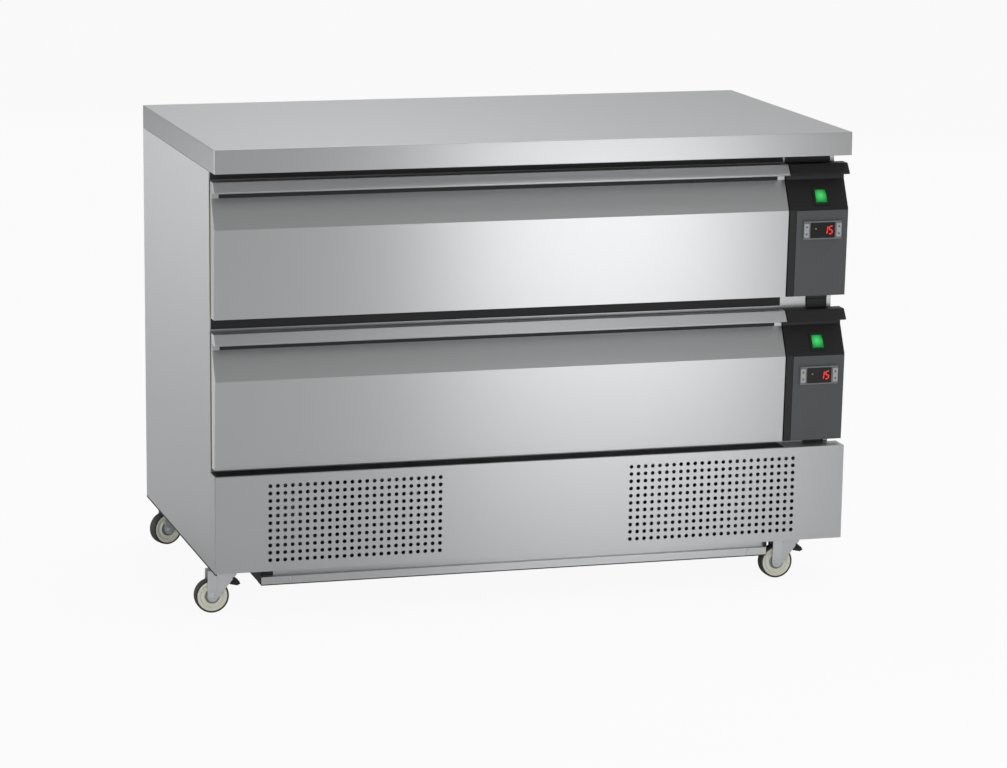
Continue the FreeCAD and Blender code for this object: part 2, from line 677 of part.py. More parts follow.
# Drawers: folded front with a hooked handle lip over a sloping finger recess
crease = (d.crease_setback, crease_rise)
recess_back = d.crease_setback + d.recess_depth
recess_foot = crease_rise + d.slope_rise
lip_bottom = drawer_rise - d.lip_rise
chamfer = 2.5
drawer_back = d.body_setback - 10
lean_back = d.crease_setback + d.face_undercut


def front_outline(rear):
    """Side outline that the drawer fronts and the control housings share, as (y, z) corners."""
    return [(lean_back, 0), crease, (recess_back, recess_foot), (recess_back, lip_bottom),
            (d.lip_setback + chamfer, lip_bottom), (d.lip_setback, lip_bottom + chamfer),
            (d.lip_setback + d.lip_slant, drawer_rise), (rear, drawer_rise), (rear, 0)]


def core_outline(wall, rear):
    """Hollow behind the lower face and the slope, with walls of one thickness."""
    slope_drop = wall * 2.3
    return [(lean_back + wall, wall), (d.crease_setback + wall, crease_rise - wall * 0.3),
            (recess_back, recess_foot - slope_drop), (rear, recess_foot - slope_drop), (rear, wall)]


pocket_front = d.lip_setback + d.lip_wall + 2
finger_pocket = [(pocket_front, lip_bottom), (recess_back, lip_bottom),
                 (recess_back, drawer_rise - d.lip_wall),
                 (d.lip_setback + d.lip_slant + 1, drawer_rise - d.lip_wall),
                 (pocket_front, lip_bottom + d.lip_wall)]


def drawer_front(name, level):
    skin = body(f"{name}_drawer_front")
    pad(skin, "YZ", polygon(skin, "YZ", front_outline(drawer_back)), drawer_width)
    hollow = polygon(skin, "YZ", core_outline(d.panel_sheet, drawer_back + 1), d.panel_sheet)
    pocket(skin, "YZ", hollow, drawer_width - d.panel_sheet * 2)
    grip = polygon(skin, "YZ", finger_pocket, d.end_cap)
    pocket(skin, "YZ", grip, drawer_width - d.end_cap * 2)
    return node(skin.Name, place(skin, (drawer_left, front, level)))


def drawer_core(name, level):
    core = body(f"{name}_drawer_core")
    pad(core, "YZ", polygon(core, "YZ", core_outline(d.panel_sheet, drawer_back)),
        drawer_width - d.panel_sheet * 2)
    return node(core.Name, place(core, (drawer_left + d.panel_sheet, front, level)))


def drawer_lining(name, level):
    """Inner panel with a raised plug that enters the cabinet opening."""
    panel = body(f"{name}_drawer_lining")
    inset = d.lining_margin
    edge = rectangle((inset, inset), (drawer_width - inset, drawer_rise - inset))
    pad(panel, "XZ", polygon(panel, "XZ", edge), d.lining_sheet)
    margin = d.plug_margin
    plug_left = opening_left - drawer_left + margin
    low = (plug_left, d.opening_margin + margin)
    high = (plug_left + opening_width - margin * 2, d.opening_margin + opening_rise - margin)
    pad(panel, "XZ", polygon(panel, "XZ", rectangle(low, high), d.lining_sheet), d.plug_depth)
    return node(panel.Name, place(panel, (drawer_left, front + drawer_back, level)))


def drawer_gasket(name, level):
    ring = body(f"{name}_drawer_gasket")
    inset = d.lining_margin + d.gasket_margin
    depth = d.body_setback - drawer_back - d.lining_sheet - d.gasket_squeeze
    outer = rectangle((inset, inset), (drawer_width - inset, drawer_rise - inset))
    pad(ring, "XZ", polygon(ring, "XZ", outer), depth)
    inner = inset + d.gasket_width
    window = rectangle((inner, inner), (drawer_width - inner, drawer_rise - inner))
    pocket(ring, "XZ", polygon(ring, "XZ", window), depth)
    return node(ring.Name, place(ring, (drawer_left, front + drawer_back + d.lining_sheet, level)))


def drawer_frame(name, level):
    """Rim frame for three food pans, with the drawer members of the runners on its sides."""
    rim = body(f"{name}_pan_frame")
    width = opening_width - d.runner_width * 2
    pad(rim, "XY", polygon(rim, "XY", rectangle((0, 0), (width, d.frame_length))), d.frame_rise)
    wall = d.frame_sheet
    bay = rectangle((wall, wall), (wall + bay_width, d.frame_length - wall))
    row_of(rim, pocket(rim, "XY", polygon(rim, "XY", bay), d.frame_rise), "X", (bay_width + d.divider) * 2, 3)
    rim_front = front + drawer_back + d.lining_sheet + d.plug_depth
    place(rim, (opening_left + d.runner_width, rim_front, level + runner_rise - d.frame_rise / 2))
    sides = [channel(name, level, "drawer", side) for side in ("left", "right")]
    return node(f"{name}_drawer_frame", fuse(f"{name}_drawer_frame", rim, *sides))


for name, level in LEVELS.items():
    drawer_front(name, level)
    drawer_core(name, level)
    drawer_lining(name, level)
    drawer_gasket(name, level)
    drawer_frame(name, level)


# Control column: a black housing beside each drawer front, with the same outline
face_lean = Size(0, f"atan({d.face_undercut.text} / {crease_rise.text})")
slope_lean = Size(0, f"atan({d.recess_depth.text} / {d.slope_rise.text})")
housing_back = d.body_setback - d.housing_back
control_middle = d.plate_inset + (d.control_width - d.plate_inset) / 2
controller_low = crease_rise - d.controller_drop - d.controller_rise / 2
switch_low = 9
black_flange = body_right - control_left
flange_reach = side_right - flange_width - control_left


def on_face(thing, level):
    """Local origin at the bottom of the leaning lower face, local Z up the face."""
    return place(thing, (control_left, front + lean_back, level), "x", face_lean)


def on_slope(thing, level):
    """Local origin on the crease, local Z up the slope."""
    return place(thing, (control_left, front + d.crease_setback, level + crease_rise), "-x", slope_lean)


def centred(width, low, rise, middle=None):
    middle = middle or control_middle
    return rectangle((middle - width / 2, low), (middle + width / 2, low + rise))


def control_housing(name, level):
    shell = body(f"{name}_housing_shell")
    pad(shell, "YZ", polygon(shell, "YZ", front_outline(housing_back)), d.control_width)
    seat = d.plate_sheet + d.touch_gap
    step = crease_rise - d.touch_gap * 5
    recess = [(0, -1), (lean_back + seat, -1), (d.crease_setback + seat, step), (0, step)]
    pocket(shell, "YZ", polygon(shell, "YZ", recess, d.plate_inset), d.control_width - d.plate_inset)
    wall = d.housing_wall
    hollow = core_outline(wall + d.plate_sheet, housing_back + 1)
    pocket(shell, "YZ", polygon(shell, "YZ", hollow, wall), d.control_width - wall * 2)
    place(shell, (control_left, front, level))
    plate = block(f"{name}_housing_rear", (control_left + wall / 2, front + housing_back, level),
                  (flange_reach - wall / 2, d.housing_back - d.gasket_squeeze, drawer_rise))
    strip = block(f"{name}_housing_strip",
                  (control_left + black_flange, front + housing_back, level - d.gap_below + 0.4),
                  (flange_reach - black_flange, d.housing_back - d.gasket_squeeze, pitch - 0.8))
    hole = body(f"{name}_controller_hole")
    pad(hole, "XZ", polygon(hole, "XZ", centred(d.controller_width - d.cutout_margin * 2 + 0.4,
        controller_low + d.cutout_margin - 0.2, d.controller_rise - d.cutout_margin * 2 + 0.4), -1), 12)
    on_face(hole, level)
    slot = body(f"{name}_switch_hole")
    neck = d.switch_neck
    pad(slot, "XZ", polygon(slot, "XZ", centred(d.switch_width - neck * 2 + 0.4, switch_low + neck - 0.2,
        d.switch_rise - neck * 2 + 0.4), -4), d.neck_depth + 6)
    on_slope(slot, level)
    pieces = [shell, plate, strip]
    if name == "upper":
        pieces.append(block("upper_housing_head",
                            (control_left + wall / 2, front + housing_back, level + drawer_rise - 1),
                            (black_flange, d.housing_back - d.gasket_squeeze, d.gap_above + 0.6)))
    solid = fuse(f"{name}_housing_solid", *pieces)
    return node(f"{name}_control_housing", cut(f"{name}_control_housing", solid, hole, slot))


def control_plate(name, level):
    sheet_body = body(f"{name}_control_plate")
    face = rectangle((d.plate_inset + d.touch_gap * 5, 0), (d.control_width, crease_rise - 1))
    pad(sheet_body, "XZ", polygon(sheet_body, "XZ", face), d.plate_sheet)
    window = centred(d.controller_width - d.cutout_margin * 2, controller_low + d.cutout_margin,
                     d.controller_rise - d.cutout_margin * 2)
    pocket(sheet_body, "XZ", polygon(sheet_body, "XZ", window), d.plate_sheet)
    return on_face(sheet_body, level)


key_offset = (d.window_width + d.key_width) / 2 + 3


def controller(name, level):
    """Bezel with a window recess and two key recesses, and a case behind the plate."""
    unit = body(f"{name}_controller")
    face = centred(d.controller_width, controller_low, d.controller_rise)
    pad(unit, "XZ", polygon(unit, "XZ", face, -d.controller_face), d.controller_face)
    case = centred(d.controller_width - d.cutout_margin * 2 - 0.2, controller_low + d.cutout_margin + 0.1,
                   d.controller_rise - d.cutout_margin * 2 - 0.2)
    pad(unit, "XZ", polygon(unit, "XZ", case), d.controller_depth)
    glass_low = controller_low + (d.controller_rise - d.window_rise) / 2
    glass = centred(d.window_width + 0.2, glass_low - 0.1, d.window_rise + 0.2)
    pocket(unit, "XZ", polygon(unit, "XZ", glass, -d.controller_face), 1.2)
    key_low = controller_low + (d.controller_rise - d.key_rise) / 2
    for side in (-1, 1):
        hole = centred(d.key_width + d.key_gap * 2, key_low - d.key_gap, d.key_rise + d.key_gap * 2,
                       control_middle + key_offset * side)
        pocket(unit, "XZ", polygon(unit, "XZ", hole, -d.controller_face), 3.4)
    return node(unit.Name, on_face(unit, level))


def display_window(name, level):
    glass = body(f"{name}_window")
    low = controller_low + (d.controller_rise - d.window_rise) / 2
    outline = centred(d.window_width, low, d.window_rise)
    pad(glass, "XZ", polygon(glass, "XZ", outline, 0.2 - d.controller_face), 1)
    return on_face(glass, level)


def key_pad(name, level, side, sign):
    """Two-way pad that rocks on a rib across its middle."""
    pad_body = body(f"{name}_{side}_keys")
    low = controller_low + (d.controller_rise - d.key_rise) / 2
    middle = control_middle + key_offset * sign
    pad(pad_body, "XZ", polygon(pad_body, "XZ", centred(d.key_width, low, d.key_rise, middle),
        -(d.controller_face + 0.8)), 3.6)
    rib = centred(d.key_width, low + d.key_rise / 2 - 0.5, as_size(1), middle)
    pad(pad_body, "XZ", polygon(pad_body, "XZ", rib, 2.8 - d.controller_face), 0.5)
    return node(pad_body.Name, on_face(pad_body, level))


pivot_depth = 4
switch_middle = switch_low + d.switch_rise / 2


def switch_frame(name, level):
    """Flanged frame with an open well and two pivot holes for the rocker."""
    frame = body(f"{name}_switch_frame")
    flange = centred(d.switch_width, switch_low, d.switch_rise)
    pad(frame, "XZ", polygon(frame, "XZ", flange, -d.switch_flange), d.switch_flange)
    neck = d.switch_neck
    pad(frame, "XZ", polygon(frame, "XZ", centred(d.switch_width - neck * 2, switch_low + neck,
        d.switch_rise - neck * 2)), d.neck_depth)
    gap = d.rocker_gap
    well = centred(d.rocker_width + gap * 2, switch_middle - d.rocker_rise / 2 - gap, d.rocker_rise + gap * 2)
    pocket(frame, "XZ", polygon(frame, "XZ", well, -d.switch_flange), d.neck_depth)
    start = control_middle - d.rocker_width / 2 - gap - 1.5
    hole = circle(frame, "YZ", (pivot_depth, switch_middle), 1.5 + d.running_gap, start)
    pocket(frame, "YZ", hole, d.rocker_width + gap * 2 + 3)
    return on_slope(frame, level)


def switch_rocker(name, level):
    """Rocker drawn switched on: its upper half is pressed in."""
    rocker = body(f"{name}_switch_rocker")
    half = d.rocker_rise / 2 - 0.5
    outline = [(-3.6, -half), (-5.5, 0), (-3.6, half), (2, half), (4, 0), (2, -half)]
    width = d.rocker_width
    pad(rocker, "YZ", polygon(rocker, "YZ", outline), width)
    pin = circle(rocker, "YZ", (0, 0), as_size(1.5), -(d.rocker_gap + 1))
    pad(rocker, "YZ", pin, width + (d.rocker_gap + 1) * 2)
    run = f"sqrt({d.recess_depth.text} ^ 2 + {d.slope_rise.text} ^ 2)"
    inward = Size(0, f"({d.slope_rise.text} / {run})")
    upward = Size(0, f"({d.recess_depth.text} / {run})")
    depth = as_size(pivot_depth)
    y = front + d.crease_setback + depth * inward + switch_middle * upward
    z = level + crease_rise + switch_middle * inward - depth * upward
    angle = Size(0, f"{slope_lean.text} + {ROCKER_TILT} deg")
    return node(rocker.Name, place(rocker, (control_left + control_middle - width / 2, y, z), "-x", angle))


ROCKER_TILT = 8
plates, windows, frames = [], [], []
for name, level in LEVELS.items():
    control_housing(name, level)
    plates.append(control_plate(name, level))
    controller(name, level)
    windows.append(display_window(name, level))
    key_pad(name, level, "left", -1)
    key_pad(name, level, "right", 1)
    frames.append(switch_frame(name, level))
    switch_rocker(name, level)
node("control_plates", group("control_plates", *plates))
node("display_windows", group("display_windows", *windows))
node("switch_frames", group("switch_frames", *frames))


# Shallow tray hung under the base: a low front channel with a second strip set back above it
hanging = body("under_tray_channel")
tray_bottom = base_bottom - d.tray_rise - d.tray_drop - 2
strip_setback = d.tray_setback + 13
sheet_wall = d.panel_sheet
tray_outline = [
    (d.tray_setback, tray_bottom), (d.tray_depth, tray_bottom), (d.tray_depth, base_bottom),
    (d.tray_depth - sheet_wall, base_bottom), (d.tray_depth - sheet_wall, tray_bottom + sheet_wall),
    (d.tray_setback + sheet_wall, tray_bottom + sheet_wall),
    (d.tray_setback + sheet_wall, tray_bottom + d.tray_rise - sheet_wall),
    (strip_setback + sheet_wall, tray_bottom + d.tray_rise - sheet_wall),
    (strip_setback + sheet_wall, base_bottom), (strip_setback, base_bottom),
    (strip_setback, tray_bottom + d.tray_rise), (d.tray_setback, tray_bottom + d.tray_rise)]
tray_width = d.counter_width - d.tray_left - d.tray_right
pad(hanging, "YZ", polygon(hanging, "YZ", tray_outline), tray_width)
end_wall = [tray_outline[0], tray_outline[1], tray_outline[2], (strip_setback, base_bottom),
            (strip_setback, tray_bottom + d.tray_rise), (d.tray_setback, tray_bottom + d.tray_rise)]
for start in (0, tray_width - sheet_wall):
    pad(hanging, "YZ", polygon(hanging, "YZ", end_wall, start), sheet_wall)
place(hanging, (left + d.tray_left, front, as_size(0)))
heads = []
for i, offset in enumerate((59, tray_width - 37)):
    spot = (left + d.tray_left + offset, front + d.tray_setback - 3, tray_bottom + 7)
    heads.append(rod(f"tray_screw{i}", "y", spot, as_size(4.5), as_size(3.5)))
node("under_tray", fuse("under_tray", hanging, *heads))


# Casters: top plate with kingpin, swivelling fork with axle, wheel, and a brake pedal on the front pair
CASTERS = {
    "front_left": (left + d.front_inset, front + d.caster_setback, 0),
    "front_right": (right - d.right_caster_inset, front + d.caster_setback, 0),
    "rear_left": (left + d.rear_inset, back - d.caster_setback, 18),
    "rear_right": (right - d.right_caster_inset - 21, back - d.caster_setback, 18),
}
plate_bottom = base_bottom - d.caster_sheet
crown_top = plate_bottom - d.race_gap
crown_bottom = crown_top - d.crown_sheet
axle_height = d.wheel_diameter / 2
leg_inner = d.wheel_width / 2 + d.fork_gap
half_fork = leg_inner + d.fork_sheet


def caster_plate(name, x, y):
    half = d.caster_plate / 2
    plate = block(f"{name}_plate", (x - half, y - half, plate_bottom),
                  (d.caster_plate, d.caster_plate, d.caster_sheet))
    pin = rod(f"{name}_kingpin", "z", (x, y, crown_bottom - d.race_gap), d.kingpin / 2,
              plate_bottom - crown_bottom + d.race_gap)
    head = rod(f"{name}_pin_head", "z", (x, y, crown_bottom - d.race_gap - 2), d.kingpin * 0.8, as_size(2))
    return fuse(f"{name}_plate_and_pin", plate, pin, head)


def caster_fork(name, x, y, turn, braked):
    """Crown disc with two trailing legs, the axle between them and, where braked, the pedal's pivot."""
    middle = (as_size(0), as_size(0), crown_bottom)
    crown = rod(f"{name}_crown", "z", middle, d.crown_diameter / 2, d.crown_sheet)
    legs = body(f"{name}_legs")
    tail = -(d.caster_trail + 9)
    outline = [(tail, crown_bottom + 1), (tail, axle_height - 3), (tail + 5, axle_height - 9),
               (-(d.caster_trail - 4), axle_height - 9), (-(d.caster_trail - 10), axle_height - 3),
               (d.crown_diameter / 2, crown_bottom - 4), (d.crown_diameter / 2, crown_bottom + 1)]
    pad(legs, "XZ", polygon(legs, "XZ", outline, -half_fork), d.fork_sheet)
    pad(legs, "XZ", polygon(legs, "XZ", outline, leg_inner), d.fork_sheet)
    bar = rod(f"{name}_axle", "y", (-d.caster_trail, -half_fork - 1.5, axle_height),
              d.axle_diameter / 2, half_fork * 2 + 3)
    pieces = [crown, legs, bar]
    if braked:
        pieces.append(rod(f"{name}_pivot", "y", (as_size(12), -half_fork, crown_bottom - 16),
                          as_size(2.5), half_fork * 2))
    bore = rod(f"{name}_bore", "z", (as_size(0), as_size(0), crown_bottom - 1), d.kingpin / 2 + d.running_gap,
               d.crown_sheet + 2)
    fork = cut(f"{name}_fork", fuse(f"{name}_fork_solid", *pieces), bore)
    return node(f"{name}_fork", place(fork, (x, y, as_size(0)), "z", Size(turn, str(turn))))


def caster_wheel(name, x, y, turn):
    tyre = body(f"{name}_wheel")
    bore = d.axle_diameter / 2 + d.running_gap
    half = d.wheel_width / 2
    rim = d.wheel_diameter / 2
    boss = leg_inner - 0.3
    turned(tyre, [(-boss, bore), (-boss, bore + 6), (-half, bore + 6), (-half, rim - d.tread_round),
                  (d.tread_round - half, rim), (half - d.tread_round, rim), (half, rim - d.tread_round),
                  (half, bore + 6), (boss, bore + 6), (boss, bore)])
    swing = Size(0, f"({d.caster_trail.text} * cos({turn} deg))")
    side = Size(0, f"({d.caster_trail.text} * sin({turn} deg))")
    return node(f"{name}_wheel", place(tyre, (x - swing, y - side, axle_height), "z", Size(turn, str(turn))))


def brake_pedal(name, x, y):
    """Pedal between the legs, with its tab in front of the wheel."""
    pedal = body(f"{name}_pedal")
    outline = [(6, -20), (10, -25), (24, -28), (30, -25), (28, -20), (17, -11), (8, -11)]
    width = leg_inner * 2 - 1
    pad(pedal, "XZ", polygon(pedal, "XZ", outline), width)
    pocket(pedal, "XZ", circle(pedal, "XZ", (12, -16), 2.5 + d.running_gap), width)
    return node(f"{name}_pedal", place(pedal, (x, y - width / 2, crown_bottom)))


tops = []
for name, (x, y, turn) in CASTERS.items():
    braked = name.startswith("front")
    tops.append(caster_plate(name, x, y))
    caster_fork(name, x, y, turn, braked)
    caster_wheel(name, x, y, turn)
    if braked:
        brake_pedal(name, x, y)
node("caster_plates", group("caster_plates", *tops))


failed = []
doc.recompute()
for thing in doc.Objects:
    if "Invalid" in thing.State or "Error" in thing.State:
        failed.append(f"{thing.Name}: {thing.State}")
for label, thing in nodes.items():
    if thing.Shape.isNull() or not thing.Shape.isValid():
        failed.append(f"{label}: not a valid shape")
if failed:
    raise RuntimeError("; ".join(failed))
for label, thing in nodes.items():
    thing.Shape.exportStep(f"parts/{label}.step")
print(len(nodes), "nodes")
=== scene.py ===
"""Refrigerated counter with two full-width drawers, on casters. Metres, +Z up, fitted to the frame."""
import json
import math
import bmesh
import bpy
import numpy as np
from mathutils import Matrix, Vector


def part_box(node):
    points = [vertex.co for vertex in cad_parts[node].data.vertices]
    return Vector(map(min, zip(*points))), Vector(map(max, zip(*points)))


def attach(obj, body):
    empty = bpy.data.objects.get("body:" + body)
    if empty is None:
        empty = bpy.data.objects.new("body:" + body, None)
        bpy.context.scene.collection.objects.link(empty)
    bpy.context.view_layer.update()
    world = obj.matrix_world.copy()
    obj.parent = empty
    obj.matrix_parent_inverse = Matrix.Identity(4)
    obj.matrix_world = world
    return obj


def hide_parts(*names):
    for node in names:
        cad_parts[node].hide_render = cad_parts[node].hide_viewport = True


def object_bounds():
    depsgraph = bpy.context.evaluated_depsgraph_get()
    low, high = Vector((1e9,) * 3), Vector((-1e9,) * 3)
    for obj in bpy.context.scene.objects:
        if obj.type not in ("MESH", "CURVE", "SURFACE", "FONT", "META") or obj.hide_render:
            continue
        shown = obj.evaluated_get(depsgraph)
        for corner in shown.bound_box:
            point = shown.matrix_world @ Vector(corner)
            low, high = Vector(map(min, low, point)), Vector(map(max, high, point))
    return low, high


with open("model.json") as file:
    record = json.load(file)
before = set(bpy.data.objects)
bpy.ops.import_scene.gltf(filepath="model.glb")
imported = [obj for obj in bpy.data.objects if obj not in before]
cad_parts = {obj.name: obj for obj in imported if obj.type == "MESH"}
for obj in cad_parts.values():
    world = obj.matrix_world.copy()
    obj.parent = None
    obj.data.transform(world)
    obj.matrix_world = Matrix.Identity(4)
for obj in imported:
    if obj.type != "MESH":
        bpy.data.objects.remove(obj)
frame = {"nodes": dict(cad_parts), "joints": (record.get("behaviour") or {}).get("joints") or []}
cad_low, cad_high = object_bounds()
nodes = frame["nodes"]
mm = 0.001


# Worktop: one 2 mm sheet of stainless steel, brushed along its length, its edges folded down and hemmed.
# A board under the sheet keeps it stiff. The bends have a small radius, which catches a thin line of light.
def linear(hex_colour):
    """sRGB hex to linear: each channel c becomes ((c + 0.055) / 1.055) ** 2.4, or c / 12.92 near black."""
    c = np.array([int(hex_colour[i:i + 2], 16) for i in (1, 3, 5)]) / 255
    return (*np.where(c <= 0.04045, c / 12.92, ((c + 0.055) / 1.055) ** 2.4), 1.0)


def add_node(material, kind, settings=None, links=None):
    """Adds one shader node. Settings fill its sockets or its own options, and links feed its sockets."""
    shader_node = material.node_tree.nodes.new(kind)
    for name, value in (settings or {}).items():
        if name in shader_node.inputs:
            shader_node.inputs[name].default_value = value
        else:
            setattr(shader_node, name, value)
    for name, source in (links or {}).items():
        material.node_tree.links.new(source, shader_node.inputs[name])
    return shader_node


def new_material(name, settings):
    """Principled surface with the given sockets set, and nothing linked yet."""
    material = bpy.data.materials.new(name)
    material.use_nodes = True
    surface = material.node_tree.nodes["Principled BSDF"]
    for socket, value in settings.items():
        surface.inputs[socket].default_value = value
    return material, surface


def plain_material(name, colour, roughness, metallic=0.0):
    """Surface with one colour and one finish all over."""
    return new_material(name, {"Base Color": linear(colour), "Roughness": roughness, "Metallic": metallic})[0]


def brushed_steel(name, colour, roughness, grain=(1, 0, 0)):
    """Brushed stainless steel: scratches along grain spread each reflection across them.

    The tangent is normal x grain. The grain is turned a little, so that an end face has a tangent too. The
    scratches are 0.3 mm apart on the real sheet, and are drawn 1.5 mm apart and 200 mm long, so that they show.
    """
    scratch_gap, scratch_length, grain_turn = 1.5 * mm, 200 * mm, 0.02
    material, surface = new_material(name, {"Base Color": linear(colour), "Metallic": 1.0,
                                            "Roughness": roughness, "Anisotropic": 0.7})
    place = add_node(material, "ShaderNodeTexCoord")
    spacing = [1 / scratch_length if along else 1 / scratch_gap for along in grain]
    scale = add_node(material, "ShaderNodeMapping", {"Scale": spacing}, {"Vector": place.outputs["Object"]})
    noise = add_node(material, "ShaderNodeTexNoise", {"Scale": 1.0, "Detail": 2.0},
                     {"Vector": scale.outputs["Vector"]})
    bump = add_node(material, "ShaderNodeBump", {"Strength": 0.14, "Distance": 0.1 * mm},
                    {"Height": noise.outputs["Fac"]})
    shape = add_node(material, "ShaderNodeNewGeometry")
    across = add_node(material, "ShaderNodeVectorMath", {"operation": "CROSS_PRODUCT"},
                      {0: shape.outputs["Normal"]})
    across.inputs[1].default_value = np.where(grain, 1, grain_turn)
    material.node_tree.links.new(across.outputs["Vector"], surface.inputs["Tangent"])
    material.node_tree.links.new(bump.outputs["Normal"], surface.inputs["Normal"])
    return material


def soften(piece, width, segments=3):
    """Merges loose corners, then rounds every edge sharper than 25 degrees."""
    weld = piece.modifiers.new("merge", "WELD")
    weld.merge_threshold = 0.01 * mm
    bevel = piece.modifiers.new("round", "BEVEL")
    bevel.width = width
    bevel.segments = segments
    bevel.limit_method = "ANGLE"
    bevel.angle_limit = math.radians(25)


def finish_nodes(names, material, width=0):
    """Gives CAD pieces their finish, and rounds their edges where a width is given."""
    for name in names:
        piece = nodes[name]
        piece.data.materials.clear()
        piece.data.materials.append(material)
        if width:
            soften(piece, width)


bright_steel = brushed_steel("brushed stainless steel", "#D4D5D6", 0.36)
finish_nodes(["worktop"], bright_steel, 1.2 * mm)
# Pressed chips under resin: matt, with no sheen at any angle.
board = plain_material("moisture resistant chipboard", "#B49A72", 0.8)
finish_nodes(["worktop_core"], board)


# Side and back panels: stainless sides brushed upright, and a zinc coated back with two rows of air slots.
# The sides hang over the body like a folded shell, so only their thin front edges show.
side_steel = brushed_steel("stainless steel brushed upright", "#CFD0D1", 0.42, (0, 0, 1))
finish_nodes(["side_panel_left", "side_panel_right"], side_steel, 0.4 * mm)
# A hot zinc bath leaves a grey, even sheen, softer than the stainless steel's.
zinc_sheet = plain_material("zinc coated sheet steel", "#B9BCBE", 0.48, 1.0)
finish_nodes(["back_panel", "base_pan", "fan_shrouds"], zinc_sheet)


# Cabinet body: foamed liners behind a stainless frame that the drawer gaskets close on.
# Foam, liners and frame stay as cast and folded, with the ducts, coils and runners inside.
# Foam is cut and matt. Liner and runner steel are rolled smooth, so they mirror a little.
foam = plain_material("rigid polyurethane foam", "#D9C690", 0.9)
finish_nodes(["insulation", "upper_drawer_core", "lower_drawer_core"], foam)
inner_steel = plain_material("smooth stainless liner", "#C4C6C8", 0.3, 1.0)
finish_nodes(["liners", "front_frame", "duct_covers", "upper_drawer_frame", "lower_drawer_frame"], inner_steel)
runner_steel = plain_material("bright zinc plated runner", "#C9CBCC", 0.28, 1.0)
finish_nodes(["cabinet_runners", "upper_mid_runners", "lower_mid_runners"], runner_steel)
# Vacuum forming leaves a soft gloss, and the gasket is dull to the touch and to the eye.
lining = plain_material("vacuum formed polystyrene", "#DADAD7", 0.4)
finish_nodes(["upper_drawer_lining", "lower_drawer_lining"], lining, 2 * mm)
gasket = plain_material("grey soft PVC gasket", "#6E7072", 0.6)
finish_nodes(["upper_drawer_gasket", "lower_drawer_gasket"], gasket, 1 * mm)
# Evaporator fins are bare metal. Condenser fins have a black coat, which makes the holes before them dark.
coil = plain_material("plain aluminium fins", "#C3C6C8", 0.4, 1.0)
finish_nodes(["evaporators"], coil)
coated_coil = plain_material("black coated condenser fins", "#2C2D2F", 0.5)
finish_nodes(["condensers"], coated_coil)
# Sprayed motor paint is satin, compressor enamel is baked and shines, and drawn copper has a warm gloss.
motor_paint = plain_material("satin black motor paint", "#2A2A2C", 0.45)
finish_nodes(["fan_motors"], motor_paint)
enamel = plain_material("black compressor enamel", "#141415", 0.25)
finish_nodes(["compressors"], enamel)
copper = plain_material("copper tube", "#C9835A", 0.3, 1.0)
finish_nodes(["refrigerant_pipes"], copper)
fan_plastic = plain_material("glass filled polypropylene", "#2B2B2D", 0.5)
finish_nodes(["upper_condenser_fan", "lower_condenser_fan", "upper_evaporator_fan", "lower_evaporator_fan"],
             fan_plastic)


# Drawer fronts: one folded stainless sheet each, with a hooked handle lip over a sloping finger recess.
# The sheet is brushed along the drawer, so reflections stretch up and down and stay sharp sideways.
drawer_steel = brushed_steel("stainless drawer sheet", "#D4D5D6", 0.34)
finish_nodes(["upper_drawer_front", "lower_drawer_front"], drawer_steel, 1.0 * mm)


# Control housings: black moulded plastic with the drawers' outline, each with a grey plate screwed on.
# The mould has a fine grain, so black and grey look satin. Only the display window is polished.
black_abs = plain_material("black moulded ABS", "#1A1A1B", 0.5)
finish_nodes(["upper_control_housing", "lower_control_housing"], black_abs, 0.8 * mm)
finish_nodes(["switch_frames", "cable_gland"], black_abs, 0.5 * mm)
grey_plate = plain_material("grey lacquered plate", "#545557", 0.5)
finish_nodes(["control_plates"], grey_plate, 0.4 * mm)
gloss_black = plain_material("gloss black polycarbonate", "#121213", 0.15)
finish_nodes(["display_windows"], gloss_black, 0.3 * mm)
bezel = plain_material("grey bezel plastic", "#77787B", 0.45)
finish_nodes(["upper_controller", "lower_controller"], bezel, 0.5 * mm)
key_rubber = plain_material("light grey silicone keys", "#B4B5B7", 0.55)
finish_nodes(["upper_left_keys", "upper_right_keys", "lower_left_keys", "lower_right_keys"], key_rubber,
             0.6 * mm)


def lit_rocker(name):
    """Green cap lit by a lamp behind its middle: the glow falls off with the distance from the cap's centre."""
    low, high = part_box(name)
    cap, surface = new_material(f"green polycarbonate {name}", {"Base Color": linear("#0F7A33"),
                                                                "Roughness": 0.25, "Emission Strength": 0.9})
    spot = add_node(cap, "ShaderNodeTexCoord")
    apart = add_node(cap, "ShaderNodeVectorMath", {"operation": "DISTANCE"}, {0: spot.outputs["Object"]})
    apart.inputs[1].default_value = (low + high) / 2 + Vector((-1 * mm, 0, 1 * mm))
    share = add_node(cap, "ShaderNodeMapRange", {"From Min": 1 * mm, "From Max": 14 * mm},
                     {"Value": apart.outputs["Value"]})
    glow = add_node(cap, "ShaderNodeValToRGB", {}, {"Fac": share.outputs["Result"]})
    glow.color_ramp.elements[0].color = linear("#F4FFD0")
    glow.color_ramp.elements[1].color = linear("#0C6A2C")
    middle = glow.color_ramp.elements.new(0.26)
    middle.color = linear("#45CC68")
    cap.node_tree.links.new(glow.outputs["Color"], surface.inputs["Emission Color"])
    finish_nodes([name], cap, 0.5 * mm)


for floor_name in ("upper", "lower"):
    lit_rocker(f"{floor_name}_switch_rocker")


